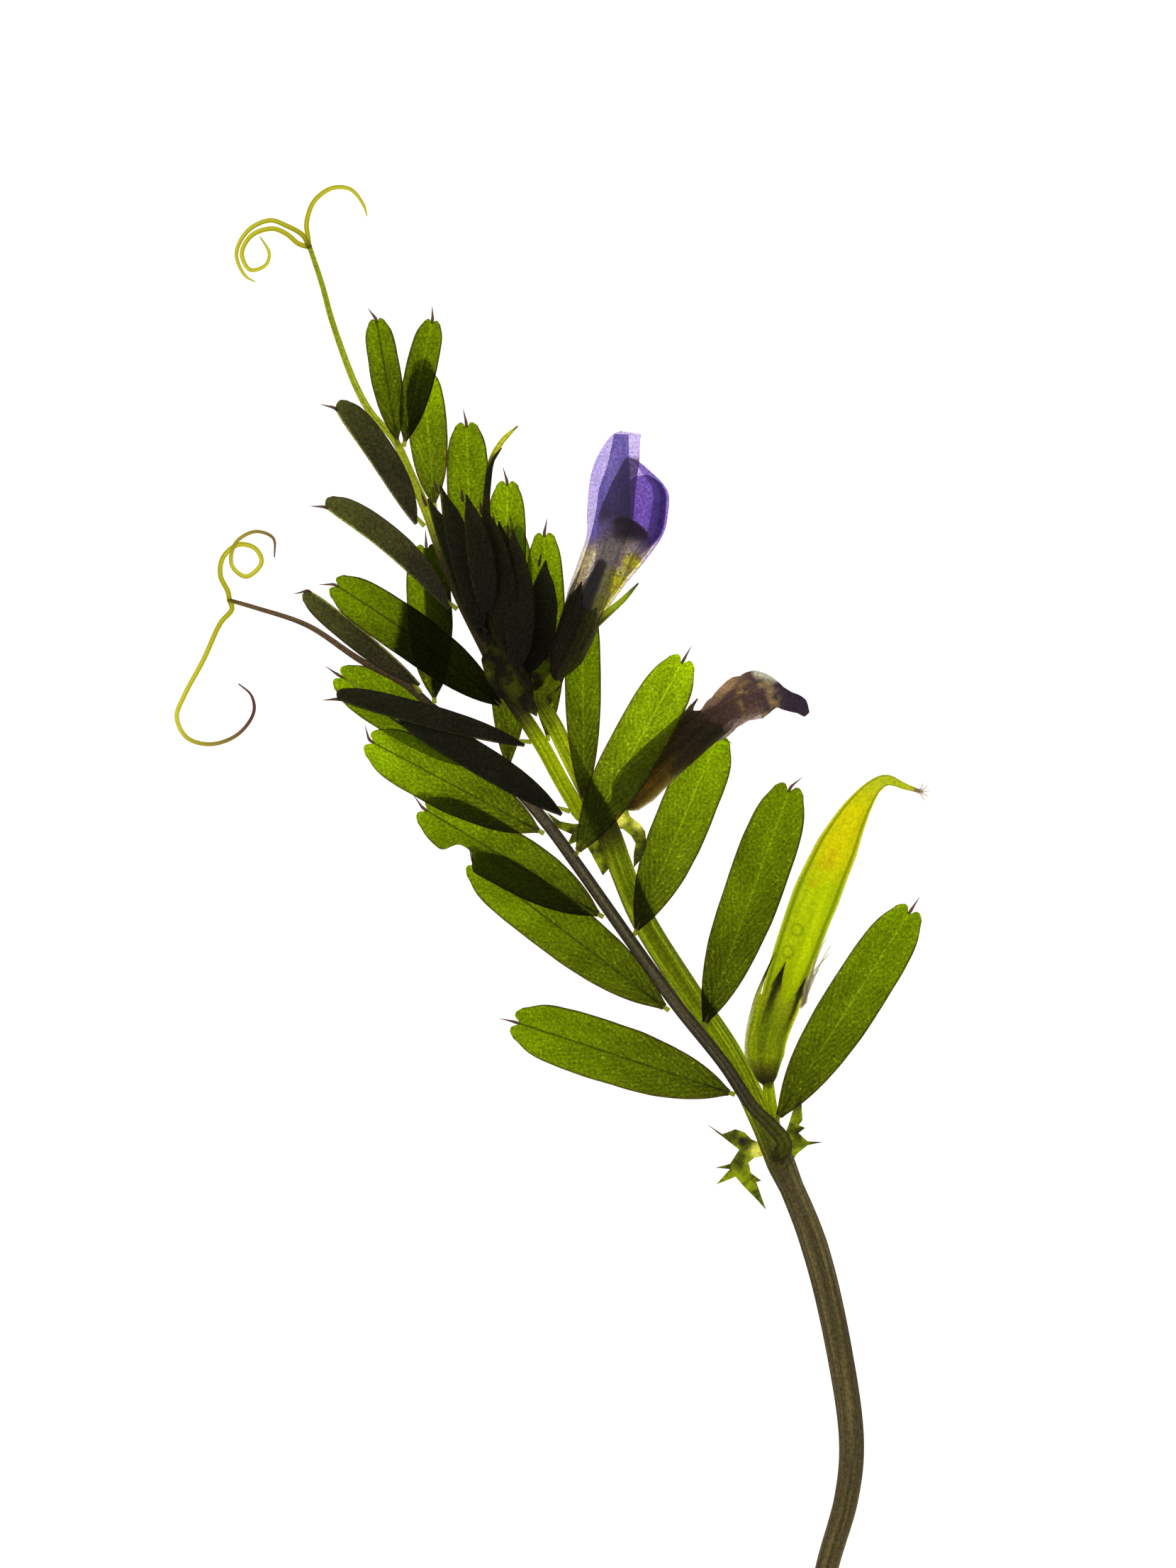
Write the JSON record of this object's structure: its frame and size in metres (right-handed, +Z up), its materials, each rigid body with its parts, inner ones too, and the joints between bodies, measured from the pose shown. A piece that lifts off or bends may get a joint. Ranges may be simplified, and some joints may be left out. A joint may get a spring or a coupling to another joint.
{
  "type": "flowering vetch sprig",
  "caption": "Picked sprig of common vetch lying flat: ridged stem, paired leaflets, tendrils, a violet flower, a withered flower and a green pod.",
  "frame": {"origin": "middle of the sprig's bounding box, on the surface it lies on", "axes": "+Y from the cut end of the stem towards the leaf tips, +X to the right seen from above, +Z up from the surface"},
  "size_m": [0.0582, 0.115, 0.0072],
  "materials": {
    "stem": "fresh green stem, satin, striped along its ridges",
    "leaf_stalk": "fresh green stalk, satin",
    "leaf": "thin living leaf blade, matte, lets light through",
    "tendril": "smooth, satin",
    "stipule": "thin leafy blade, matte",
    "calyx": "thin, matte, veined",
    "standard": "thin petal, matte, lets light through",
    "wing": "thin petal, matte, lets light through",
    "keel": "thin petal, matte",
    "withered_calyx": "thin, drying, matte",
    "withered_corolla": "crumpled dry petals, matte",
    "pod": "smooth young pod, satin, lets light through",
    "dry_threads": "dry papery threads, matte"
  },
  "bodies": {
    "root": {"stem": "stem", "leaf_a_stalk": "leaf_stalk", "leaf_a_leaflet_left_1": "leaf", "leaf_a_leaflet_left_2": "leaf", "leaf_a_leaflet_left_3": "leaf", "leaf_a_leaflet_left_4": "leaf", "leaf_a_leaflet_left_5": "leaf", "leaf_a_leaflet_left_6": "leaf", "leaf_a_leaflet_right_1": "leaf", "leaf_a_leaflet_right_2": "leaf", "leaf_a_leaflet_right_3": "leaf", "leaf_a_leaflet_right_4": "leaf", "leaf_a_leaflet_right_5": "leaf", "leaf_a_leaflet_right_6": "leaf", "leaf_b_stalk": "leaf_stalk", "leaf_b_leaflet_left_1": "leaf", "leaf_b_leaflet_left_2": "leaf", "leaf_b_leaflet_left_3": "leaf", "leaf_b_leaflet_left_4": "leaf", "leaf_b_leaflet_left_5": "leaf", "leaf_b_leaflet_left_6": "leaf", "leaf_b_leaflet_right_1": "leaf", "leaf_b_leaflet_right_2": "leaf", "leaf_b_leaflet_right_3": "leaf", "leaf_b_leaflet_right_4": "leaf", "leaf_b_leaflet_right_5": "leaf", "leaf_b_leaflet_right_6": "leaf", "young_leaf_stalk": "leaf_stalk", "young_leaf_leaflet_left_1": "leaf", "young_leaf_leaflet_left_2": "leaf", "young_leaf_leaflet_left_3": "leaf", "young_leaf_leaflet_right_1": "leaf", "young_leaf_leaflet_right_2": "leaf", "young_leaf_leaflet_right_3": "leaf", "young_leaf_leaflet_right_4": "leaf", "leaf_a_tendril_upper": "tendril", "leaf_a_tendril_lower": "tendril", "leaf_b_tendril_right": "tendril", "leaf_b_tendril_outer": "tendril", "leaf_b_tendril_inner": "tendril", "stipule_lower_left": "stipule", "stipule_lower_right": "stipule", "stipule_upper_left": "stipule", "stipule_upper_right": "stipule", "flower_calyx": "calyx", "flower_standard": "standard", "flower_wing_upper": "wing", "flower_wing_lower": "wing", "flower_keel": "keel", "withered_calyx": "withered_calyx", "withered_corolla": "withered_corolla", "pod_calyx": "calyx", "pod": "pod", "pod_dry_stamens": "dry_threads"}
  },
  "joints": []
}
